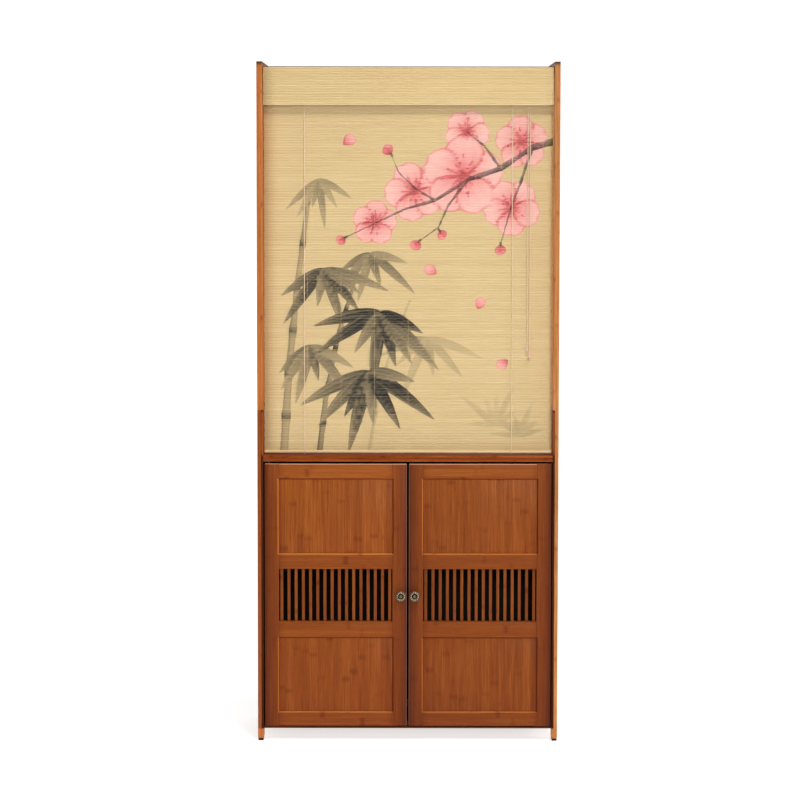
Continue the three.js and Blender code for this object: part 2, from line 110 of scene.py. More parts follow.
class Shader:
    """A material whose nodes are added by short calls. Constants go on the surface's own sockets."""

    def __init__(self, name, **constants):
        self.material = bpy.data.materials.new(name)
        self.material.use_nodes = True
        self.tree = self.material.node_tree
        self.surface = self.tree.nodes["Principled BSDF"]
        self.fill(self.surface, **constants)

    def put(self, socket, value):
        if isinstance(value, bpy.types.NodeSocket):
            self.tree.links.new(value, socket)
        elif value is not None:
            socket.default_value = value

    def fill(self, node, **values):
        """Puts values on a node's sockets by their names, with _ for a space."""
        for name, value in values.items():
            self.put(node.inputs[name.replace("_", " ")], value)
        return node

    def add(self, kind, values=(), **settings):
        node = self.tree.nodes.new(f"ShaderNode{kind}")
        for name, value in settings.items():
            setattr(node, name, value)
        for socket, value in zip(node.inputs, values):
            self.put(socket, value)
        return node

    def math(self, operation, *values, clamp=False):
        return self.add("Math", values, operation=operation, use_clamp=clamp).outputs[0]

    def minus(self, a, b):
        return self.math("SUBTRACT", a, b)

    def times(self, a, b, clamp=False):
        return self.math("MULTIPLY", a, b, clamp=clamp)

    def scaled(self, value, factor, base, clamp=False):
        """value times factor, plus base."""
        return self.math("MULTIPLY_ADD", value, factor, base, clamp=clamp)

    def swayed(self, base, value, amount, clamp=False):
        """base, moved by how far a value of 0 to 1 lies from its middle."""
        return self.scaled(self.minus(value, 0.5), amount, base, clamp)

    def position(self):
        return self.add("TexCoord").outputs["Object"]

    def normal(self):
        return self.axes(self.add("TexCoord").outputs["Normal"])

    def axes(self, vector):
        return dict(zip("xyz", self.add("SeparateXYZ", [vector]).outputs))

    def vector(self, x, y, z):
        return self.add("CombineXYZ", [x, y, z]).outputs[0]

    def attribute(self, name):
        return self.add("Attribute", attribute_name=name).outputs["Fac"]

    def noise(self, vector, scale=1.0, detail=2.0, roughness=0.5):
        node = self.fill(self.add("TexNoise"), Vector=vector, Scale=scale)
        return self.fill(node, Detail=detail, Roughness=roughness).outputs["Fac"]

    def chance(self, vector):
        """A random value for each different vector, and two more."""
        node = self.add("TexWhiteNoise", noise_dimensions="3D")
        return self.axes(self.fill(node, Vector=vector).outputs["Color"])

    def ramp(self, factor, stops):
        node = self.add("ValToRGB", [factor])
        elements = node.color_ramp.elements
        while len(elements) < len(stops):
            elements.new(0.5)
        for element, (place, colour) in zip(elements, stops):
            element.position = place
            element.color = colour
        return node.outputs["Color"]

    def tones(self, factor, *stops):
        """A ramp between colours of 0 to 255."""
        return self.ramp(factor, [(place, linear(*colour)) for place, colour in stops])

    def step(self, value, low, high):
        """0 below low and 1 above high, with a soft change between them."""
        return self.add("MapRange", [value, low, high], interpolation_type="SMOOTHSTEP").outputs[0]

    def mix(self, factor, a, b, blend="MIX"):
        node = self.add("Mix", data_type="RGBA", blend_type=blend)
        self.put(node.inputs["Factor"], factor)
        self.put(node.inputs[6], a)
        self.put(node.inputs[7], b)
        return node.outputs[2]

    def bump(self, height, strength, distance):
        node = self.add("Bump")
        return self.fill(node, Strength=strength, Distance=distance, Height=height).outputs[0]

    def finish(self, colour, roughness=None, normal=None):
        self.fill(self.surface, Base_Color=colour, Roughness=roughness, Normal=normal)
        return self.material


# Bamboo timber: strips glued side by side and in layers, each with its own tone and its own knuckles

STRIP_WIDE = 19 * MM
LAYER_THICK = 6.8 * MM
KNUCKLE_SPACING = 0.26


def bamboo(name, tones, along, across, roughness=0.52, contrast=1.0, knuckles=1.0, shades=()):
    """tones are its darkest, middle and lightest colour. along and across are the axes of its strips."""
    s = Shader(name, Coat_Weight=0.04, Coat_Roughness=0.3, Specular_IOR_Level=0.12)
    place = s.axes(s.position())
    through = next(axis for axis in "xyz" if axis not in (along, across))
    seed = s.attribute("seed")
    strips = s.math("ADD", s.math("DIVIDE", place[across], STRIP_WIDE), seed)
    layers = s.math("ADD", s.math("DIVIDE", place[through], LAYER_THICK), seed)
    cell = s.vector(s.math("FLOOR", strips), s.math("FLOOR", layers), s.math("FLOOR", seed))
    chance = s.chance(cell)
    shifted = s.math("ADD", place[along], s.times(chance["y"], 3.0))
    far = s.times(chance["z"], 5.0)

    def grain(length, width, detail=2.0, rough=0.5):
        """Noise stretched along the fibres: the usual length and width of its marks."""
        stretched = s.vector(
            s.math("DIVIDE", shifted, length),
            s.math("DIVIDE", place[across], width),
            s.math("ADD", s.math("DIVIDE", place[through], width), far),
        )
        return s.noise(stretched, detail=detail, roughness=rough)

    fibre = grain(90 * MM, 1.9 * MM, 3.0, 0.62)
    streak = grain(300 * MM, 6.5 * MM, 2.0)
    cloud = grain(120 * MM, 34 * MM)
    dash = s.step(grain(24 * MM, 1.7 * MM, 1.0), 0.66, 0.76)
    turn = s.math("FRACT", s.math("ADD", s.math("DIVIDE", shifted, KNUCKLE_SPACING), chance["x"]))
    away = s.times(s.math("ABSOLUTE", s.minus(turn, 0.5)), KNUCKLE_SPACING)
    uneven = s.scaled(cloud, 9.0 * MM, s.scaled(fibre, 5.0 * MM, away))
    knuckle = s.minus(1.0, s.step(uneven, 7.5 * MM, 17 * MM))
    line = s.minus(1.0, s.step(uneven, 7.4 * MM, 9 * MM))
    seam = s.math("ABSOLUTE", s.minus(s.math("FRACT", strips), 0.5))
    seam = s.step(seam, 0.47, 0.5)
    tone = 0.5
    for value, amount in ((chance["x"], 0.13), (fibre, 0.9), (streak, 0.42), (cloud, 0.24)):
        tone = s.swayed(tone, value, amount * contrast)
    tone = s.scaled(dash, -0.28 * contrast, tone)
    depth = s.scaled(chance["y"], -0.2 * knuckles, -0.06 * knuckles)
    tone = s.scaled(knuckle, depth, tone)
    tone = s.scaled(line, -0.07 * knuckles, tone)
    tone = s.scaled(seam, -0.06 * contrast, tone, clamp=True)
    colour = s.tones(tone, *zip((0.05, 0.5, 0.95), tones))
    for shade in shades:
        colour = shade(s, place, colour)
    height = s.scaled(line, 0.5, fibre)
    gloss = s.scaled(s.minus(0.5, fibre), 0.25, roughness)
    return s.finish(colour, gloss, s.bump(height, 0.15, 0.2 * MM))


# Where tone differs on one piece: painted shade and painted highlights, and darker or paler parts

POST_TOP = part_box("post_front_left")[1].z
SIDE_PANEL_LOW, SIDE_PANEL_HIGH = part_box("side_panel_left")
CABINET_TOP_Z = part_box("cabinet_top")[1].z
DOOR_INNER_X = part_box("door_right_inner_stile")[0].x
DOOR_LOW, DOOR_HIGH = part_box("door_right_outer_stile")
EDGE_SHADE_WIDE = 50 * MM
DOOR_RIM = (10 * MM, 12 * MM)
HIGHLIGHT_EDGE = (1.4 * MM, 2.6 * MM)


def tinted(s, colour, factor_stops, value):
    """colour times a factor for red, green and blue that changes with a value of 0 to 1."""
    stops = [(place, [*factor, 1.0]) for place, factor in factor_stops]
    return s.mix(1.0, colour, s.ramp(value, stops), "MULTIPLY")


def multiplied(s, colour, factor, value):
    """colour as it is where value is 0, and times factor where value is 1."""
    return tinted(s, colour, [(0.0, (1, 1, 1)), (1.0, factor)], value)


def post_darker_low(s, place, colour):
    """The left posts are darker beside the cabinet, down to its floor."""
    left = s.step(place["x"], 1 * MM, -1 * MM)
    below = s.step(place["z"], SIDE_PANEL_HIGH.z + 1 * MM, SIDE_PANEL_HIGH.z - 1 * MM)
    above = s.step(place["z"], SIDE_PANEL_LOW.z - 3 * MM, SIDE_PANEL_LOW.z + 1 * MM)
    return multiplied(s, colour, (0.54, 0.43, 0.36), s.times(left, s.times(below, above)))


def post_end(s, place, colour):
    """The posts are dark and grey-blue at their top ends, and the darkening fades over 13 mm below them."""
    end = s.step(place["z"], POST_TOP - 13 * MM, POST_TOP - 2 * MM)
    return tinted(s, colour, [(0.0, (1, 1, 1)), (0.5, (0.6, 0.72, 0.9)), (1.0, (0.2, 0.22, 0.3))], end)


def right_side(factor):
    """Colour times a factor on the right-hand pieces alone."""
    return lambda s, place, colour: multiplied(s, colour, factor, s.step(place["x"], -1 * MM, 1 * MM))


def panel_front_shade(s, place, colour):
    """Painted shade: the side panels' front edges are painted nearly black beside the doors, where they lie
    in the shadow of the gap there.
    """
    front = s.step(place["y"], SIDE_PANEL_LOW.y + 9 * MM, SIDE_PANEL_LOW.y + 5 * MM)
    low = s.step(place["z"], CABINET_TOP_Z + 4 * MM, CABINET_TOP_Z - 4 * MM)
    return multiplied(s, colour, (0.22, 0.16, 0.2), s.times(front, low))


def from_door_sides(s, place):
    """How far a point lies from the nearer upright edge of its door."""
    across = s.math("ABSOLUTE", place["x"])
    return s.math("MINIMUM", s.minus(DOOR_HIGH.x, across), s.minus(across, DOOR_INNER_X))


def door_edge_shade(s, place, colour):
    """Painted shade: the doors are painted darkest and greyest along their upright edges, where the rounded
    edges and the gaps beside them fall in shade.
    """
    share = s.math("DIVIDE", from_door_sides(s, place), EDGE_SHADE_WIDE, clamp=True)
    stops = [(0.0, (0.36, 0.3, 0.5)), (0.06, (0.4, 0.34, 0.5)), (0.16, (0.58, 0.48, 0.5))]
    stops += [(0.34, (0.72, 0.62, 0.58)), (0.66, (0.82, 0.76, 0.7)), (1.0, (1, 1, 1))]
    return tinted(s, colour, stops, share)


def door_height_shade(s, place, colour):
    """Painted shade and light: the doors are darker towards the floor and palest at their tops, as the light
    falls off downwards.
    """
    share = s.math("DIVIDE", s.minus(place["z"], DOOR_LOW.z), DOOR_HIGH.z - DOOR_LOW.z, clamp=True)
    stops = [(0.0, (0.78, 0.7, 0.72)), (0.13, (0.88, 0.82, 0.79)), (0.45, (0.95, 0.93, 0.9))]
    stops += [(0.8, (1, 1, 1)), (1.0, (1.12, 1.2, 1.3))]
    return tinted(s, colour, stops, share)


def door_edge_highlight(s, place, colour):
    """Painted highlights: the rounded edges at a door's top and at the gap between the doors are painted
    pale, where they catch the light.
    """
    normal = s.normal()
    at_top = s.minus(1.0, s.step(s.minus(DOOR_HIGH.z, place["z"]), *HIGHLIGHT_EDGE))
    top = s.times(at_top, s.step(normal["z"], 0.12, 0.5))
    from_gap = s.minus(s.math("ABSOLUTE", place["x"]), DOOR_INNER_X)
    at_gap = s.minus(1.0, s.step(from_gap, *HIGHLIGHT_EDGE))
    gap = s.times(at_gap, s.step(s.math("ABSOLUTE", normal["x"]), 0.12, 0.5))
    colour = s.mix(s.times(gap, 0.35), colour, linear(176, 124, 104))
    return s.mix(s.times(top, 0.85), colour, linear(232, 176, 146))


def chamfer_light_shade(s, place, colour):
    """Painted light and shade: round a panel, chamfers that face right or up are painted pale as if lit, and
    those that face left or down are painted dark as if shaded.
    """
    normal = s.normal()
    pale = s.step(s.math("MAXIMUM", normal["x"], normal["z"]), 0.35, 0.6)
    dark = s.step(s.math("MINIMUM", normal["x"], normal["z"]), -0.35, -0.6)
    from_end = s.math("MINIMUM", s.minus(DOOR_HIGH.z, place["z"]), s.minus(place["z"], DOOR_LOW.z))
    within = s.step(s.math("MINIMUM", from_door_sides(s, place), from_end), *DOOR_RIM)
    within = s.times(within, s.step(s.math("ABSOLUTE", normal["y"]), 0.3, 0.5))
    colour = multiplied(s, colour, (2.1, 2.8, 4.4), s.times(pale, within))
    return multiplied(s, colour, (0.7, 0.5, 0.4), s.times(dark, within))


def bar_side_shade(s, place, colour):
    """Painted shade: the grille's bars are painted darker where their sides turn back from the light, the
    left sides most.
    """
    normal = s.normal()
    left = s.step(normal["x"], 0.0, -0.4)
    right = s.step(normal["x"], 0.1, 0.6)
    colour = tinted(s, colour, [(0.0, (0.85, 0.88, 0.96)), (1.0, (0.24, 0.13, 0.08))], left)
    return multiplied(s, colour, (0.3, 0.28, 0.4), right)


HONEY = [(136, 66, 20), (184, 105, 41), (216, 146, 80)]
DOOR = [(106, 44, 4), (142, 70, 17), (174, 100, 38)]
RAIL = [(100, 40, 4), (136, 66, 15), (166, 94, 34)]
BOARD = [(86, 30, 4), (133, 60, 13), (168, 92, 36)]
# The dark board tones are partly painted shade: they make the cabinet floor's lip read dark in the shade
# under the doors. The top board takes them too.
DARK = [(62, 30, 10), (92, 47, 18), (124, 70, 34)]
# The back panel's near-black tones are painted shade, standing in for the dark inside of the cabinet seen
# through the grille.
INSIDE_SHADE = [(22, 13, 8), (34, 20, 12), (48, 30, 18)]
UMBER = [(88, 48, 24), (122, 74, 40), (152, 102, 62)]
# The battens' cream is paler than the slats: partly their colour, partly painted light, so that the bottom
# bar reads light where it sits in shade.
PALE = [(240, 210, 156), (252, 230, 180), (255, 242, 202)]


def slatted_bamboo():
    """Fine bamboo slats with a printed picture: its shapes and tones are in the mesh."""
    s = Shader("slats", Specular_IOR_Level=0.2)
    place = s.axes(s.position())
    slat = s.attribute("slat")
    along = s.scaled(slat, 13.0, place["x"])
    hairs = s.vector(s.times(along, 16.0), s.times(place["y"], 500.0), s.times(place["z"], 1100.0))
    fibre = s.noise(hairs, detail=3.0, roughness=0.6)
    cloud = s.noise(s.vector(s.times(along, 9.0), 0.0, s.times(slat, 40.0)))
    wide = s.noise(s.vector(s.times(place["x"], 6.0), 0.0, s.times(place["z"], 6.0)))
    dashes = s.vector(s.times(along, 60.0), 0.0, s.times(place["z"], 700.0))
    fleck = s.step(s.noise(dashes, detail=1.0), 0.68, 0.78)
    tone = 0.5
    for value, amount in ((slat, 0.14), (fibre, 0.42), (cloud, 0.28), (wide, 0.2)):
        tone = s.swayed(tone, value, amount)
    tone = s.scaled(fleck, -0.16, tone, clamp=True)
    wood = s.tones(tone, (0.05, (196, 166, 114)), (0.5, (219, 193, 142)), (0.95, (234, 212, 164)))
    dry = s.swayed(1.0, fibre, 0.5)
    petal = s.step(s.attribute("petal_edge"), -0.12, 0.12)
    pinks = [(0.0, (250, 206, 196)), (0.35, (240, 158, 156)), (0.7, (222, 96, 108)), (1.0, (168, 32, 52))]
    petal_colour = s.tones(s.attribute("petal_tone"), *pinks)
    petal_cover = s.times(petal, s.times(dry, 0.9, clamp=True), clamp=True)
    printed = s.mix(petal_cover, wood, petal_colour)
    ink = s.step(s.attribute("ink_edge"), -0.14, 0.14)
    ink_cover = s.times(ink, s.times(s.attribute("ink_tone"), dry), clamp=True)
    printed = s.mix(ink_cover, printed, linear(30, 27, 24))
    return s.finish(printed, s.scaled(fibre, 0.2, 0.5), s.bump(fibre, 0.2, 0.2 * MM))


def grainy(name, dark, light, scale, roughness=0.7, patchy=0.6, height=0.3, depth=0.2 * MM, **constants):
    """Two close tones in a fine noise, which also moves the roughness and raises the surface."""
    s = Shader(name, **constants)
    grain = s.noise(s.position(), scale, 3.0, patchy)
    colour = s.tones(grain, (0.3, dark), (0.7, light))
    return s.finish(colour, s.scaled(grain, 0.2, roughness), s.bump(grain, height, depth))


def yarn(name, dark, light):
    soft = {"Sheen_Weight": 0.25, "Sheen_Roughness": 0.5, "Specular_IOR_Level": 0.25}
    return grainy(name, dark, light, 900.0, **soft)


def aged_bronze():
    """Dark in its hollows and rubbed bright on its raised rings, which the mesh marks."""
    s = Shader("aged_bronze", Metallic=0.85)
    patina = s.noise(s.position(), 420.0, 4.0, 0.65)
    worn = s.swayed(s.attribute("raised"), patina, 0.7, clamp=True)
    colour = s.tones(worn, (0.1, (20, 15, 11)), (0.5, (88, 71, 53)), (0.9, (196, 176, 146)))
    return s.finish(colour, s.scaled(worn, -0.25, 0.6), s.bump(patina, 0.25, 0.15 * MM))


def dull_steel():
    s = Shader("steel_pin", Metallic=0.8)
    place = s.axes(s.position())
    lines = s.noise(s.vector(place["x"], place["y"], s.times(place["z"], 40.0)), 90.0, 3.0)
    colour = s.tones(lines, (0.3, (38, 33, 30)), (0.7, (66, 60, 55)))
    return s.finish(colour, s.scaled(lines, 0.25, 0.4), s.bump(lines, 0.2, 0.1 * MM))


def pad_rubber():
    return grainy("pad_rubber", (16, 15, 14), (38, 35, 33), 900.0, height=0.4, Specular_IOR_Level=0.3)


def bell_plastic():
    shine = {"Coat_Weight": 0.2, "Coat_Roughness": 0.2}
    shine |= {"Subsurface_Weight": 0.12, "Subsurface_Radius": (0.004, 0.002, 0.0012)}
    dark, light = (222, 176, 152), (244, 208, 190)
    return grainy("blush_bell", dark, light, 260.0, 0.32, 0.5, height=0.15, depth=0.1 * MM, **shine)


# The right posts are paler, and the right door is a little darker than the left one
post_sides = right_side((1.05, 1.36, 2.3))
door_sides = right_side((0.92, 0.92, 0.96))
# Painted shade and painted highlights on the doors, and the right door's darker tone
DOOR_SHADES = (door_edge_shade, door_height_shade, door_sides, door_edge_highlight, chamfer_light_shade)
# The door frames' looks: the painted shade and painted highlights above, with softer grain
FRAME_SHADES = {"shades": DOOR_SHADES, "contrast": 0.8}

# Each wooden look: its tones, the axis of its fibres and the axis across its strips, and what sets it apart
WOODS = {
    "post": (HONEY, "z", "y", {"shades": (post_sides, post_darker_low, post_end)}),
    "side_rail": (UMBER, "y", "z", {}),
    "side_panel": (DOOR, "z", "y", {"roughness": 0.75, "shades": (panel_front_shade,)}),
    "board": (BOARD, "x", "y", {"roughness": 0.8, "contrast": 1.4}),
    "dark_board": (DARK, "x", "y", {"roughness": 0.62}),
    "back_panel": (INSIDE_SHADE, "z", "x", {}),
    "door_panel": (DOOR, "z", "x", {"shades": DOOR_SHADES, "contrast": 1.1, "knuckles": 0.7}),
    "door_rail": (DOOR, "x", "z", FRAME_SHADES),
    "upper_rail": (RAIL, "x", "z", FRAME_SHADES),
    "door_stile": (DOOR, "z", "x", {**FRAME_SHADES, "knuckles": 0.5}),
    "grille": (DOOR, "z", "x", {"shades": (door_height_shade, door_sides, bar_side_shade)}),
    "batten": (PALE, "x", "z", {"roughness": 0.6, "contrast": 0.7, "knuckles": 0.3}),
}
LOOKS = {look: bamboo(f"{look}_bamboo", *wood, **apart) for look, (*wood, apart) in WOODS.items()}
LOOKS |= {
    "slats": slatted_bamboo(),
    "cord": yarn("cord_yarn", (216, 188, 152), (248, 226, 198)),
    "warp": yarn("warp_yarn", (208, 180, 130), (236, 214, 168)),
    "bronze": aged_bronze(),
    "steel": dull_steel(),
    "pad": pad_rubber(),
    "bell": bell_plastic(),
}

# Mesh tools


def mesh_piece(name, points, faces, look, body="rack"):
    """A mesh object with its look, riding on a body."""
    mesh = bpy.data.meshes.new(name)
    mesh.from_pydata(np.asarray(points, float).tolist(), [], faces)
    mesh.update()
    piece = placed(name, mesh)
    mesh.materials.append(LOOKS[look])
    mesh.shade_smooth()
    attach(piece, body)
    return piece


def mark(piece, name, values):
    """Keeps one number for each point of a piece."""
    attribute = piece.data.attributes.new(name, "FLOAT", "POINT")
    count = len(piece.data.vertices)
    attribute.data.foreach_set("value", np.broadcast_to(np.asarray(values, np.float32), count).copy())


def spaced(points, step):
    """Points at even steps along a line of straight runs."""
    points = np.asarray(points, float)
    runs = np.linalg.norm(np.diff(points, axis=0), axis=1)
    passed = np.concatenate([[0], np.cumsum(runs)])
    places = np.linspace(0, passed[-1], max(2, round(passed[-1] / step) + 1))
    return np.stack([np.interp(places, passed, points[:, i]) for i in range(3)], axis=1)


def ring_faces(rings, sides, first=0):
    """Faces of a closed tube of rings, with a cap on each end."""
    faces = []
    for i in range(rings - 1):
        low = first + i * sides
        for j in range(sides):
            k = (j + 1) % sides
            faces.append((low + j, low + k, low + sides + k, low + sides + j))
    faces.append(tuple(first + j for j in reversed(range(sides))))
    faces.append(tuple(first + (rings - 1) * sides + j for j in range(sides)))
    return faces


def tube_points(path, sections):
    """Rings along a path in a plane that holds X. sections gives each ring's offsets across it."""
    path = np.asarray(path, float)
    tangents = np.gradient(path, axis=0)
    tangents /= np.linalg.norm(tangents, axis=1, keepdims=True)
    side = np.array([1.0, 0.0, 0.0])
    other = np.cross(tangents, side)
    other /= np.linalg.norm(other, axis=1, keepdims=True)
    rings = path[:, None, :] + sections[:, :, :1] * side + sections[:, :, 1:] * other[:, None, :]
    return rings.reshape(-1, 3)


# Cords: three yarns twisted together

CORD_RADIUS = 1 * MM
CORD_YARNS = 3
CORD_TWIST = 8.5 * MM
CORD_STEP = 1.05 * MM
CORD_SIDES = 12

BAR_LOW, BAR_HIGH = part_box("blind_bottom_bar")
CORD_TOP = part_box("lift_cord_left")[1].z
PULL_CORD_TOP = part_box("pull_cord_inner")[1].z
CORD_OFF_BAR = 1.3 * MM
CORD_UNDER_RAIL = 0.3 * MM
BEND_MIDDLE_Y = (BAR_LOW.y + BAR_HIGH.y) / 2
BEND_RADIUS = (BAR_HIGH.y - BAR_LOW.y) / 2 + CORD_OFF_BAR
BEND_MIDDLE_Z = BAR_LOW.z + (BAR_HIGH.y - BAR_LOW.y) / 2


def twisted_cord(name, route, node):
    path = spaced(route, CORD_STEP)
    turn = np.arange(len(path)) * CORD_STEP * 2 * math.pi / CORD_TWIST
    angle = np.linspace(0, 2 * math.pi, CORD_SIDES, endpoint=False)[None, :] + turn[:, None]
    lobes = np.abs(np.cos(CORD_YARNS * (angle - turn[:, None]) / 2))
    radius = CORD_RADIUS * (0.8 + 0.2 * lobes)
    sections = np.stack([radius * np.cos(angle), radius * np.sin(angle)], axis=2)
    points = tube_points(path, sections)
    cord = mesh_piece(name, points, ring_faces(len(path), CORD_SIDES), "cord")
    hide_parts(node)
    return cord


def lift_cord(side):
    """Down in front of the sheet, round under its batten and up behind it to the top board."""
    node = f"lift_cord_{side}"
    low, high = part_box(node)
    x = (low.x + high.x) / 2
    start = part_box("blind_headrail")[0].z - CORD_UNDER_RAIL
    front = [start, 1.4, 1.25, 1.1, 0.95, 0.8, 0.72, 0.69, 0.682]
    back = [0.682, 0.69, 0.72, 0.8, 0.95, 1.1, 1.25, 1.4, CORD_TOP]
    route = [(x, BEND_MIDDLE_Y - BEND_RADIUS, z) for z in front]
    for degrees in range(0, 181, 10):
        angle = math.pi + math.radians(degrees)
        y = BEND_MIDDLE_Y + BEND_RADIUS * math.cos(angle)
        route.append((x, y, BEND_MIDDLE_Z + BEND_RADIUS * math.sin(angle)))
    route += [(x, BEND_MIDDLE_Y + BEND_RADIUS, z) for z in back]
    cord = twisted_cord(f"lift_cord_{side}_yarns", route, node)


BELL_SIDES = 40
BELL_PROFILE = [
    (0.0, 0.1), (0.62, 0.1), (0.7, 0.03), (0.86, 0.0), (0.97, 0.03), (1.0, 0.09), (0.98, 0.15),
    (0.9, 0.19), (0.93, 0.22), (0.9, 0.26), (0.8, 0.34), (0.7, 0.44), (0.63, 0.56), (0.6, 0.66),
    (0.6, 0.76), (0.64, 0.79), (0.64, 0.83), (0.58, 0.86), (0.52, 0.93), (0.42, 0.985), (0.3, 1.0),
    (0.0, 1.0),
]


def lathe(profile, sides):
    """Points and faces of a turned form about Z, from radii and heights that start and end on the axis."""
    angles = np.linspace(0, 2 * math.pi, sides, endpoint=False)
    points = [(0.0, 0.0, profile[0][1])]
    for radius, high in profile[1:-1]:
        points += [(radius * math.cos(a), radius * math.sin(a), high) for a in angles]
    points.append((0.0, 0.0, profile[-1][1]))
    last, rings = len(points) - 1, len(profile) - 2
    faces = []
    for j in range(sides):
        k = (j + 1) % sides
        faces.append((0, 1 + k, 1 + j))
        faces.append((last, last - sides + j, last - sides + k))
        for i in range(rings - 1):
            low = 1 + i * sides
            faces.append((low + j, low + k, low + sides + k, low + sides + j))
    return np.array(points), faces


def pull_cord(which):
    node = f"pull_cord_{which}"
    low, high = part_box(node)
    bell_low, bell_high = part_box(f"pull_bell_{which}")
    x, y = (low.x + high.x) / 2, (low.y + high.y) / 2
    between = [1.5, 1.45, 1.4, 1.35, 1.3, 1.25, 1.2, 1.15, 1.1, 1.05, 1.0, 0.96, 0.94]
    route = [(x, y, z) for z in [PULL_CORD_TOP, *between, low.z]]
    cord = twisted_cord(f"pull_cord_{which}_yarns", route, node)
    radius, high = (bell_high.x - bell_low.x) / 2, bell_high.z - bell_low.z
    points, faces = lathe([(r * radius, h * high) for r, h in BELL_PROFILE], BELL_SIDES)
    points += (x, y, bell_low.z)
    bell = mesh_piece(f"pull_bell_{which}_turned", points, faces, "bell")
    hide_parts(f"pull_bell_{which}")


for side in ("left", "right"):
    lift_cord(side)
for which in ("inner", "outer"):
    pull_cord(which)

# The picture on the sheet, in millimetres from the sheet's middle and up from the floor: a plum branch
# in blossom over ink bamboo. Each shape is kept as how far a point lies inside its edge.

EDGE_REACH = 3.2
STROKE_MARGIN = 16
PETAL_MARGIN = 6
PETALS = 5
STAMENS = 11


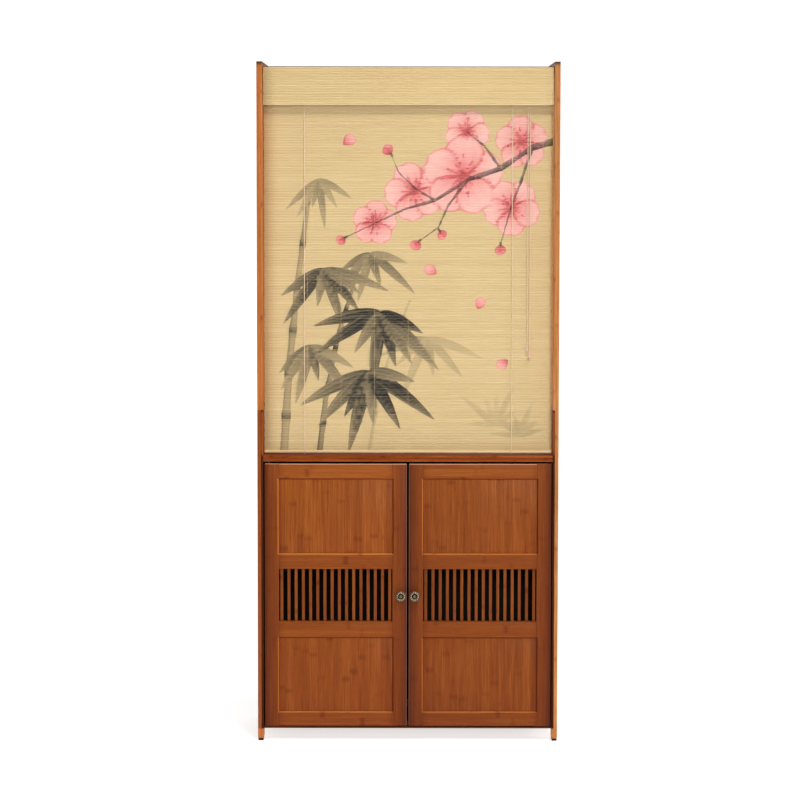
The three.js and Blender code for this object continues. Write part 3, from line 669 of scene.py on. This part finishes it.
class Picture:
    """Two layers of print on sample points: how far inside its shapes a point lies, and the tone there."""

    def __init__(self, x, z):
        self.x, self.z = x, z
        self.edge = {layer: np.full(x.shape, -EDGE_REACH) for layer in ("petal", "ink")}
        self.tone = {layer: np.zeros(x.shape) for layer in ("petal", "ink")}

    def near(self, low, high, margin):
        """Which points lie in a box of the picture."""
        wide = (self.x > low[0] - margin) & (self.x < high[0] + margin)
        return np.nonzero(wide & (self.z > low[1] - margin) & (self.z < high[1] + margin))

    def lay(self, layer, where, inside, tone):
        """Adds a shape. It covers what is under it, and its tone reaches a little past its edge."""
        edge, kept = self.edge[layer][where], self.tone[layer][where]
        inside = np.clip(inside, -EDGE_REACH, EDGE_REACH)
        takes = (inside > -0.4) | ((inside > -EDGE_REACH) & (inside > edge))
        self.tone[layer][where] = np.where(takes, tone, kept)
        self.edge[layer][where] = np.maximum(edge, inside)

    def stroke(self, layer, line, widths, tone):
        """A brush stroke. widths is a function of how far along, and tone of how far along and across."""
        line = np.asarray(line, float)
        where = self.near(line.min(axis=0), line.max(axis=0), STROKE_MARGIN)
        points = np.stack([self.x[where], self.z[where]], axis=1)
        if not len(points):
            return
        best = np.full(len(points), np.inf)
        along, across = np.zeros(len(points)), np.zeros(len(points))
        steps = len(line) - 1
        for i in range(steps):
            run = line[i + 1] - line[i]
            from_start = points - line[i]
            share = np.clip(from_start @ run / max(run @ run, 1e-9), 0, 1)
            off = from_start - share[:, None] * run
            distance = np.linalg.norm(off, axis=1)
            nearer = distance < best
            side = np.sign(run[0] * off[:, 1] - run[1] * off[:, 0])
            best = np.where(nearer, distance, best)
            along = np.where(nearer, (i + share) / steps, along)
            across = np.where(nearer, side * distance, across)
        half = widths(along)
        self.lay(layer, where, half - best, tone(along, across / np.maximum(half, 0.5)))

    def leaf(self, base, angle, length, wide, tone):
        """A pointed leaf of one brush stroke, dark where the brush lands and dry where it lifts."""
        way = np.array([math.cos(angle), math.sin(angle)])
        droop = np.array([0, -1]) * length * 0.12 * abs(way[0])
        t = np.linspace(0, 1, 11)[:, None]
        line = np.asarray(base) + t * length * way + t**2 * droop
        phase = base[0] * 0.37 + length

        def widths(along):
            return wide / 2 * np.sin(np.pi * np.clip(along, 0, 1) ** 0.72) ** 0.85

        def tones(along, across):
            streak = 0.1 * np.sin(9 * across + phase) + 0.06 * np.sin(17 * across + 2 * phase)
            lift = 1.22 - 0.5 * along**1.6 + 0.12 * across
            return np.clip(tone * lift + 1.4 * streak * tone, 0.05, 0.985)

        self.stroke("ink", line, widths, tones)

    def stalk(self, line, widths, joints, tone):
        """A bamboo stalk: a wash between dark joints."""
        line = np.asarray(line, float)
        t = np.linspace(0, 1, len(line))
        at = np.linspace(0, 1, joints + 1)
        for first, last in zip(at[:-1], at[1:]):
            ends = np.linspace(first + 0.006, last - 0.006, 7)
            part = np.stack([np.interp(ends, t, line[:, i]) for i in (0, 1)], axis=1)
            half = np.interp([first, last], [0, 1], widths)

            def width(along, half=half):
                return np.interp(along, [0, 1], half) * (0.9 + 0.26 * (2 * along - 1) ** 4)

            def tones(along, across):
                rim = 0.4 * np.abs(across) ** 2.5
                joint = 0.5 * np.abs(2 * along - 1) ** 9
                return np.clip(tone * (0.62 + rim + joint + 0.16 * across), 0.04, 0.95)

            self.stroke("ink", part, width, tones)

    def branch(self, line, widths, tone):
        """A rough twig that tapers."""
        line = np.asarray(line, float)
        phase = line[0, 0] * 0.11

        def width(along):
            knots = 0.85 + 0.2 * np.sin(31 * along + phase) * np.sin(13 * along + 2 * phase)
            return np.interp(along, [0, 1], widths) * knots

        def tones(along, across):
            return np.clip(tone * (0.86 + 0.22 * across + 0.1 * np.sin(40 * along + phase)), 0.1, 0.97)

        self.stroke("ink", line, width, tones)

    def petal(self, middle, angle, length, wide, shade):
        """A rounded petal that starts at the flower's middle, deeper in colour at its root and its rim."""
        where = self.near(middle, middle, length + PETAL_MARGIN)
        x, z = self.x[where] - middle[0], self.z[where] - middle[1]
        along = x * math.cos(angle) + z * math.sin(angle)
        across = -x * math.sin(angle) + z * math.cos(angle)
        reach = np.clip(along / length, 0, 1)
        half = wide / 2 * np.sin(np.pi * np.clip(reach, 0.001, 0.999) ** 1.25) ** 0.6
        notch = 0.05 * length * np.exp(-((across / (0.12 * wide)) ** 2))
        inside = np.minimum(half - np.abs(across), length - notch - along)
        inside = np.minimum(inside, along + 1.5)
        rim = np.clip(1 - inside / (0.09 * length), 0, 1) ** 1.4
        vein = 0.5 + 0.5 * np.cos(across * 26 / wide)
        tone = shade + 0.6 * (1 - reach) ** 2.4 + 0.5 * rim + 0.14 * vein * (1 - reach)
        self.lay("petal", where, inside, np.clip(tone, 0, 1))

    def dab(self, layer, line, half, tone):
        """A short stroke of one width and one tone."""
        self.stroke(layer, line, lambda along: half + 0 * along, lambda along, across: tone + 0 * along)

    def blossom(self, middle, size, turn, shade):
        """Petals round a middle, with stamens."""
        for i in range(PETALS):
            angle = turn + 2 * math.pi * i / PETALS
            self.petal(middle, angle, size * 0.52, size * 0.5, shade + 0.05 * (i % 2))
        for i in range(STAMENS):
            angle = turn + 2 * math.pi * (i + 0.3) / STAMENS
            reach = size * (0.17 + 0.05 * (i % 3))
            tip = (middle[0] + reach * math.cos(angle), middle[1] + reach * math.sin(angle))
            self.dab("petal", [middle, tip], 0.75, 0.92)
            self.dab("ink", [tip, (tip[0] + 0.4, tip[1])], 1.5, 0.62)

    def bud(self, middle, size, turn):
        """A closed bud in its dark cup."""
        self.petal(middle, turn, size, size * 0.9, 0.4)
        self.petal(middle, turn + 0.5, size * 0.9, size * 0.6, 0.55)
        back = (middle[0] - 3 * math.cos(turn), middle[1] - 3 * math.sin(turn))
        cup = [back, (middle[0] + 3 * math.cos(turn), middle[1] + 3 * math.sin(turn))]
        self.stroke("ink", cup, lambda along: 3.4 - 1.6 * along, lambda along, across: 0.8 + 0 * along)


# Bamboo stalks: their line from the ground up, half widths at both ends, joints and tone
STALKS = [
    ([(-92, 668), (-70, 800), (-36, 930), (4, 1030)], (4.2, 2.4), 4, 0.3),
    ([(-290, 660), (-278, 860), (-258, 1060), (-232, 1262)], (10.5, 5.5), 6, 0.6),
    ([(-208, 660), (-192, 800), (-163, 950), (-118, 1092)], (7.5, 3.8), 5, 0.84),
]
# Thin twigs that carry the leaves
TWIGS = [
    [(-262, 1060), (-222, 1096), (-196, 1104)],
    [(-283, 860), (-250, 905), (-226, 926)],
    [(-163, 950), (-110, 990), (-64, 1004)],
    [(-196, 800), (-140, 846), (-92, 866)],
    [(-36, 930), (8, 946), (44, 944)],
    [(-232, 1262), (-214, 1290), (-206, 1312)],
    [(-118, 1092), (-96, 1122), (-88, 1140)],
]
# Bunches of leaves: where, the first and last angle in degrees, how many, length, width and tone
BUNCHES = [
    ((44, 944), 196, 338, 6, 150, 21, 0.3),
    ((204, 736), 8, 168, 7, 116, 15, 0.16),
    ((258, 712), 20, 160, 6, 96, 13, 0.24),
    ((-206, 1312), 212, 330, 6, 118, 17, 0.5),
    ((-88, 1140), 206, 344, 6, 136, 21, 0.66),
    ((-196, 1104), 214, 352, 7, 158, 25, 0.84),
    ((-226, 926), 216, 330, 6, 152, 24, 0.7),
    ((-64, 1004), 192, 345, 8, 190, 30, 0.95),
    ((-92, 866), 196, 346, 8, 196, 31, 0.98),
]
# The plum branch, its side twigs and their half widths at both ends
BRANCHES = [
    ([(350, 1402), (286, 1384), (214, 1336), (138, 1310), (62, 1262), (-8, 1242), (-146, 1176)], (9.5, 1.6)),
    ([(214, 1336), (176, 1388), (136, 1420)], (4.4, 1.6)),
    ([(138, 1310), (92, 1250), (70, 1200), (26, 1168)], (4.0, 1.2)),
    ([(286, 1384), (262, 1310), (236, 1240), (214, 1160)], (4.6, 1.3)),
    ([(62, 1262), (16, 1290), (-22, 1326), (-40, 1368)], (3.4, 1.1)),
]
# Blossoms: middle, size, turn in radians and petals' tone
BLOSSOMS = [
    ((262, 1396), 122, 0.4, 0.1),
    ((136, 1420), 104, 1.1, 0.04),
    ((240, 1246), 132, 0.9, 0.08),
    ((-78, 1210), 104, 0.2, 0.12),
    ((14, 1282), 138, 0.7, 0.06),
    ((126, 1318), 184, 0.25, 0.08),
]
BUDS = [
    ((26, 1168), 26, 3.9), ((72, 1192), 23, 5.2), ((214, 1160), 26, 4.6),
    ((-146, 1176), 24, 3.6), ((-40, 1368), 26, 2.1),
]
FALLEN_PETALS = [
    ((-150, 1390), 34, 0.7), ((66, 1092), 32, 2.6), ((162, 1010), 29, 1.2), ((232, 892), 32, 3.8),
]


def paint(x, z):
    picture = Picture(x, z)
    for line, widths, joints, tone in STALKS:
        picture.stalk(line, widths, joints, tone)
    for twig in TWIGS:
        picture.branch(twig, (1.8, 1.0), 0.7)
    for place, first, last, count, length, wide, tone in BUNCHES:
        angles = np.radians(np.linspace(first, last, count))
        for i, angle in enumerate(angles):
            swing = 0.12 * math.sin(5.3 * i + place[0])
            size = 0.78 + 0.22 * math.cos(2.4 * i + place[1])
            depth = tone * (0.82 + 0.18 * math.cos(1.9 * i + place[0]))
            picture.leaf(place, angle + swing, length * size, wide * (0.7 + 0.3 * size), depth)
    for line, widths in BRANCHES:
        picture.branch(line, widths, 0.86)
    for middle, size, turn, shade in BLOSSOMS:
        picture.blossom(middle, size, turn, shade)
    for middle, size, turn in BUDS:
        picture.bud(middle, size, turn)
    for middle, size, turn in FALLEN_PETALS:
        picture.petal(middle, turn, size, size * 0.8, 0.2)
    return picture


# Slatted sheets

SLAT_PITCH = 3.8 * MM
FINE_STEP = 2.1 * MM
MIDDLE_EVERY = 3
COARSE_EVERY = 15
# A slat's outline from its front low edge: backwards and up, in millimetres
SLAT_OUTLINE = [(0.05, -1.42), (0.05, 1.42), (0.7, 1.87), (1.55, 1.5), (1.55, -1.5), (0.7, -1.87)]


def front_of(node):
    """How far forward a slatted node's front lies at each height, from its own points."""
    co = np.array([v.co for v in frame["nodes"][node].data.vertices])
    heights = np.unique(co[:, 2].round(5))
    front = np.array([co[np.abs(co[:, 2] - z) < 1e-5, 1].min() for z in heights])
    ridge = np.minimum(front, np.minimum(np.roll(front, 1), np.roll(front, -1)))
    return heights, ridge


def slatted(name, node, printed):
    """A sheet of single slats, with columns close together where the picture's edges are."""
    low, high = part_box(node)
    count = round((high.z - low.z) / SLAT_PITCH)
    heights, ridge = front_of(node)
    columns = round((high.x - low.x) / FINE_STEP) + 1
    x = np.linspace(low.x, high.x, columns)
    middles = low.z + (np.arange(count) + 0.5) * SLAT_PITCH
    outline = np.array(SLAT_OUTLINE) * MM
    rows = (middles[:, None] + outline[None, :2, 1]).ravel()
    grid_x, grid_z = np.meshgrid(x / MM, rows / MM)
    picture = paint(grid_x, grid_z) if printed else Picture(grid_x, grid_z)
    edges = np.array(list(picture.edge.values()))
    near_edge = (np.abs(edges) < EDGE_REACH * 0.98).any(axis=0)
    inside = (edges > 0).any(axis=0)
    index = np.arange(columns)
    coarse_all = (index % COARSE_EVERY == 0) | (index == columns - 1)
    layers = {(layer, kind): [] for layer in ("petal", "ink") for kind in ("edge", "tone")}
    points, faces, slats, first = [], [], [], 0
    for i, middle in enumerate(middles):
        edge_here = near_edge[2 * i : 2 * i + 2].any(axis=0)
        edge_here |= np.roll(edge_here, 1) | np.roll(edge_here, -1)
        inside_here = inside[2 * i : 2 * i + 2].any(axis=0) & (index % MIDDLE_EVERY == 0)
        fine = np.nonzero(edge_here | inside_here | coarse_all)[0]
        coarse = np.nonzero(coarse_all)[0]
        y = np.interp(middle, heights, ridge) + rng.uniform(-0.1, 0.12) * MM
        phase, bow, lift = rng.uniform(0, 6.28), rng.uniform(0.02, 0.14) * MM, rng.uniform(-0.03, 0.03) * MM
        ends = rng.uniform(-0.5, 0.5, 2) * MM
        thick = rng.uniform(0.88, 1.0)
        rails = [fine, fine, coarse, coarse, coarse, coarse]
        starts = []
        for (back, up), rail in zip(outline, rails):
            starts.append(first)
            along = x[rail] + np.interp(x[rail], [low.x, high.x], ends)
            sway = bow * np.sin(phase + 9 * x[rail])
            points.append(
                np.stack([along, y + back * thick + sway, np.full(len(rail), middle + up + lift)], axis=1)
            )
            first += len(rail)
        for (layer, kind), lists in layers.items():
            values = getattr(picture, kind)[layer]
            blank = -EDGE_REACH if kind == "edge" else 0
            lower, upper, behind = values[2 * i], values[2 * i + 1], np.full(len(coarse), blank)
            lists += [lower[fine], upper[fine], upper[coarse], behind, behind, lower[coarse]]
        slats.append(np.full(first - starts[0], rng.uniform(0, 1)))
        for a, b in ((0, 1), (2, 3), (3, 4), (4, 5)):
            for k in range(len(rails[a]) - 1):
                faces.append((starts[a] + k, starts[a] + k + 1, starts[b] + k + 1, starts[b] + k))
        faces += fan(fine, coarse, starts[1], starts[2], flip=False)
        faces += fan(fine, coarse, starts[0], starts[5], flip=True)
        last = [start + len(rail) - 1 for start, rail in zip(starts, rails)]
        faces += [tuple(starts), tuple(reversed(last))]
    sheet = mesh_piece(name, np.concatenate(points), faces, "slats")
    mark(sheet, "slat", np.concatenate(slats))
    for (layer, kind), lists in layers.items():
        scale = 1 if kind == "tone" else 1 / EDGE_REACH
        mark(sheet, f"{layer}_{kind}", np.concatenate(lists) * scale)
    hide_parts(node)
    return sheet, middles, heights, ridge


def fan(fine, coarse, fine_start, coarse_start, flip):
    """Triangles between a rail of many points and one of few, which has some of the same columns."""
    faces = []
    at = {column: k for k, column in enumerate(fine)}
    for j in range(len(coarse) - 1):
        a, b = at[coarse[j]], at[coarse[j + 1]]
        half = (a + b + 1) // 2
        left, right = coarse_start + j, coarse_start + j + 1
        faces += [(fine_start + k, fine_start + k + 1, left if k < half else right) for k in range(a, b)]
        faces.append((fine_start + half, right, left))
    return [face[::-1] for face in faces] if flip else faces


WARPS = 9
WARP_SPACING = 78 * MM
YARN_RADIUS = 0.28 * MM
YARN_SIDES = 5


def warp_yarns(name, middles, heights, ridge):
    """Pairs of yarns that cross between each two slats."""
    points, faces, first = [], [], 0
    slat_back = SLAT_OUTLINE[3][0] * MM
    for warp in range(WARPS):
        x = (warp - (WARPS - 1) / 2) * WARP_SPACING
        for yarn in (0, 1):
            path = []
            for i, middle in enumerate(middles):
                y = np.interp(middle, heights, ridge)
                in_front = (i + yarn) % 2 == 0
                face = y - 0.1 * MM if in_front else y + slat_back + 0.1 * MM
                shift = (0.3 if yarn else -0.3) * MM
                path += [(x, face, middle - 0.8 * MM), (x, face, middle + 0.8 * MM)]
                path.append((x + shift, y + slat_back / 2, middle + SLAT_PITCH / 2))
            path = np.array(path[:-1])
            angle = np.linspace(0, 2 * math.pi, YARN_SIDES, endpoint=False)
            ring = YARN_RADIUS * np.stack([np.cos(angle), np.sin(angle)], axis=1)
            points.append(tube_points(path, np.broadcast_to(ring, (len(path), YARN_SIDES, 2))))
            faces += ring_faces(len(path), YARN_SIDES, first)
            first += len(points[-1])
    return mesh_piece(name, np.concatenate(points), faces, "warp")


def hang(node, printed):
    """A slatted sheet with its yarns, hung from the headrail."""
    sheet, *levels = slatted(f"{node}_slats", node, printed)
    warps = warp_yarns(f"{node}_warps", *levels)


def blind():
    hang("blind_sheet", printed=True)
    hang("blind_valance", printed=False)


# Wooden pieces: the frame's own shapes with rounded edges

SHARP_ANGLE = math.radians(35)
ON_BOX = 0.05 * MM


def on_box_edge(edge, low, high):
    """Whether an edge runs along an edge of a box."""
    sides = 0
    for axis in range(3):
        ends = [vert.co[axis] for vert in edge.verts]
        sides += any(all(abs(end - limit[axis]) < ON_BOX for end in ends) for limit in (low, high))
    return sides >= 2


def rounded(node, look, outer=1.1 * MM, inner=0.8 * MM, around=None):
    """A copy of a node with rounded edges: wide ones on the box around, narrow ones elsewhere."""
    source = frame["nodes"][node]
    mesh = source.data.copy()
    mesh.name = f"{node}_wood"
    bm = bmesh.new()
    bm.from_mesh(mesh)
    bmesh.ops.remove_doubles(bm, verts=bm.verts, dist=0.002 * MM)
    bmesh.ops.dissolve_limit(bm, angle_limit=math.radians(0.5), verts=bm.verts, edges=bm.edges)
    low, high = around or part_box(node)
    weight = bm.edges.layers.float.new("bevel_weight_edge")
    for edge in bm.edges:
        if len(edge.link_faces) == 2 and edge.calc_face_angle(0) > SHARP_ANGLE:
            edge[weight] = 1.0 if on_box_edge(edge, low, high) else inner / outer
    bm.to_mesh(mesh)
    bm.free()
    mesh.materials.clear()
    mesh.materials.append(LOOKS[look])
    mesh.shade_smooth()
    piece = placed(f"{node}_wood", mesh)
    bevel = piece.modifiers.new("rounded_edges", "BEVEL")
    bevel.limit_method = "WEIGHT"
    bevel.width = outer
    bevel.segments = 3
    bevel.harden_normals = True
    mark(piece, "seed", rng.uniform(0, 40))
    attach(piece, source["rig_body"])
    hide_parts(node)


def rack():
    for side in ("left", "right"):
        for end in ("front", "rear"):
            rounded(f"post_{end}_{side}", "post")
            rounded(f"foot_pad_{end}_{side}", "pad", outer=0.8 * MM)
        rounded(f"side_rail_{side}", "side_rail")
        rounded(f"side_panel_{side}", "side_panel", outer=0.8 * MM, inner=0.6 * MM)
    rounded("top_board", "dark_board")
    rounded("cabinet_top", "board")
    rounded("cabinet_floor", "dark_board", inner=0.6 * MM)
    rounded("back_panel", "back_panel", outer=0.5 * MM, inner=0.5 * MM)
    rounded("blind_headrail", "batten")
    rounded("blind_bottom_bar", "batten", outer=0.5 * MM, inner=0.4 * MM)


# Doors

DOOR_PARTS = {"outer_stile": "door_stile", "inner_stile": "door_stile", "bottom_rail": "door_rail"}
DOOR_PARTS |= {"lower_rail": "door_rail", "upper_rail": "upper_rail", "top_rail": "door_rail"}
DOOR_PARTS |= {"lower_panel": "door_panel", "upper_panel": "door_panel", "grille": "grille"}

KNOB_SIDES = 96
# A knob, all in millimetres. Its outline is radius and distance out, from its foot on the door.
KNOB_OUTLINE = [
    (0, 0), (7.9, 0), (8.5, 0.4), (8.5, 1.2), (8.0, 1.8), (6.4, 2.4), (5.6, 3.2), (5.1, 4.6), (4.8, 6.6),
    (4.8, 8.5), (5.2, 10.4), (6.4, 12.4), (9.2, 14.4), (11.9, 15.6), (12.6, 16.4), (12.8, 17.2),
    (12.7, 18.1), (12.4, 18.9), (12.0, 19.5), (11.6, 19.7), (11.3, 19.5), (11.0, 19.2), (10.6, 19.3),
    (10.0, 19.9), (9.2, 20.6), (8.3, 21.1), (7.5, 21.2), (6.9, 21.0), (6.5, 20.5), (6.1, 20.1), (5.6, 20.0),
    (5.1, 20.3), (4.7, 21.0), (4.2, 21.8), (3.6, 22.3), (3.0, 22.4), (2.6, 22.2), (2.2, 22.2), (1.6, 22.6),
    (0.9, 22.7), (0, 22.7),
]
KNOB_FACE = 18.5
PETAL_RING = (6.4, 10.9)
KNOB_PETALS = 12
PETAL_DEPTH = 1.0
BEAD_RING = 11.2
BEADS = 48
BEAD_HIGH = 0.16
# Two hollow rings hold the dark patina: inner and outer radius
HOLLOWS = ((4.1, 5.7), (10.6, 11.2))


def knob(side):
    """A turned knob with a ring of petals round its middle boss."""
    node = f"door_{side}_knob"
    knob_low, knob_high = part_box(node)
    points, faces = lathe([(r * MM, out * MM) for r, out in KNOB_OUTLINE], KNOB_SIDES)
    radius = np.hypot(points[:, 0], points[:, 1]) / MM
    angle = np.arctan2(points[:, 1], points[:, 0])
    out = points[:, 2] / MM
    face = out > KNOB_FACE
    share = np.clip((radius - PETAL_RING[0]) / (PETAL_RING[1] - PETAL_RING[0]), 0, 1)
    ring = np.where(face, np.sin(np.pi * share) ** 0.7, 0)
    groove = np.abs(np.sin(KNOB_PETALS * angle / 2)) ** 0.6
    points[:, 2] -= PETAL_DEPTH * MM * ring * (1 - groove)
    bead = np.where(face & (radius > BEAD_RING), BEAD_HIGH * np.cos(BEADS * angle), 0)
    points[:, 2] += bead * MM
    raised = np.where(face, 0.53, 0.34) + 0.75 * ring * (groove - 0.55) + 1.2 * bead
    hollow = np.any([(radius > low) & (radius < high) for low, high in HOLLOWS], axis=0)
    raised = np.where(face & hollow, 0.04, raised)
    turned = np.stack([points[:, 0], -points[:, 2], points[:, 1]], axis=1)
    turned += ((knob_low.x + knob_high.x) / 2, knob_high.y, (knob_low.z + knob_high.z) / 2)
    piece = mesh_piece(f"{node}_turned", turned, faces, "bronze", f"door_{side}")
    mark(piece, "raised", np.clip(raised, 0, 1))
    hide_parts(node)


DOOR_ROUND = 2.4 * MM
DOOR_INNER_ROUND = 0.35 * MM
BAR_ROUND = 2.1 * MM


def door_box(side):
    lows, highs = zip(*(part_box(f"door_{side}_{part}") for part in ("outer_stile", "inner_stile")))
    return np.min(lows, axis=0), np.max(highs, axis=0)


def door(side):
    around = door_box(side)
    for part, look in DOOR_PARTS.items():
        inner = BAR_ROUND if part == "grille" else DOOR_INNER_ROUND
        rounded(f"door_{side}_{part}", look, outer=DOOR_ROUND, inner=inner, around=around)
    knob(side)
    for end in ("top", "bottom"):
        pin = frame["nodes"][f"door_{side}_{end}_pin"]
        pin.data.materials.clear()
        pin.data.materials.append(LOOKS["steel"])


# Studio

FLOOR_REACH = 9.0
SWEEP_START = 9.4
SWEEP_RADIUS = 5.8
WALL_HIGH = 25.0
WALL_REACH = 32.0


def studio():
    """A pale floor that widens and sweeps up into a far wall. It shines, so that its shadows stay light."""
    profile = [(-FLOOR_REACH, 0.0)]
    profile += [
        (SWEEP_START + SWEEP_RADIUS * math.sin(a), SWEEP_RADIUS * (1 - math.cos(a)))
        for a in np.linspace(0, math.pi / 2, 24)
    ]
    profile.append((SWEEP_START + SWEEP_RADIUS, WALL_HIGH))
    reaches = [FLOOR_REACH] + [WALL_REACH] * (len(profile) - 1)
    points = [(x, y, z) for (y, z), reach in zip(profile, reaches) for x in (-reach, reach)]
    faces = [(2 * i, 2 * i + 1, 2 * i + 3, 2 * i + 2) for i in range(len(profile) - 1)]
    mesh = bpy.data.meshes.new("studio_floor")
    mesh.from_pydata(points, [], faces)
    mesh.shade_smooth()
    floor = placed("studio_floor", mesh)
    s = Shader("studio_paint", Roughness=0.9, Specular_IOR_Level=0.1, Emission_Color=(1, 1, 1, 1))
    place = s.axes(s.position())
    back = s.step(place["y"], -2.2, -0.5)
    far = s.step(place["y"], 2.0, 12.0)
    s.fill(s.surface, Emission_Strength=s.scaled(back, 0.6, s.scaled(far, 0.15, 0.08)))
    grain = s.noise(s.position(), 3.0)
    mesh.materials.append(s.finish(s.tones(grain, (0.3, (224, 224, 223)), (0.7, (228, 228, 227)))))


WORLD_STRENGTH = 0.13
# Added to the sky's strength where it is seen and not only felt
SKY_SEEN = 0.75
# Soft lamps: where each stands, its size, its power in watts and its colour
LAMPS = [
    ("front", (0.3, -7.6, 2.4), 1.8, 165, (1.0, 0.99, 0.975)),
    ("key", (0.9, -3.4, 4.3), 1.1, 96, (1.0, 0.985, 0.96)),
    ("right", (3.6, -0.9, 1.9), 1.0, 30, (1.0, 0.99, 0.98)),
    ("top", (0.4, -0.7, 4.3), 1.2, 22, (1.0, 1.0, 1.0)),
]
AIM = Vector((0, 0, 0.85))


def lights():
    world = bpy.data.worlds.new("studio")
    world.use_nodes = True
    tree = world.node_tree
    sky = tree.nodes["Background"].inputs
    sky["Color"].default_value = (1, 1, 1, 1)
    ray = tree.nodes.new("ShaderNodeLightPath")
    strength = tree.nodes.new("ShaderNodeMath")
    strength.operation = "MULTIPLY_ADD"
    tree.links.new(ray.outputs["Is Camera Ray"], strength.inputs[0])
    strength.inputs[1].default_value = SKY_SEEN
    strength.inputs[2].default_value = WORLD_STRENGTH
    tree.links.new(strength.outputs[0], sky["Strength"])
    bpy.context.scene.world = world
    for name, place, size, watts, colour in LAMPS:
        data = bpy.data.lights.new(name, "AREA")
        data.shape = "DISK"
        data.size = size
        data.energy = watts
        data.color = colour
        lamp = placed(name, data)
        lamp.location = place
        lamp.rotation_euler = (AIM - Vector(place)).to_track_quat("-Z", "Y").to_euler()
    bpy.context.scene.view_settings.view_transform = "Standard"


rack()
for side in ("left", "right"):
    door(side)
blind()
studio()
lights()
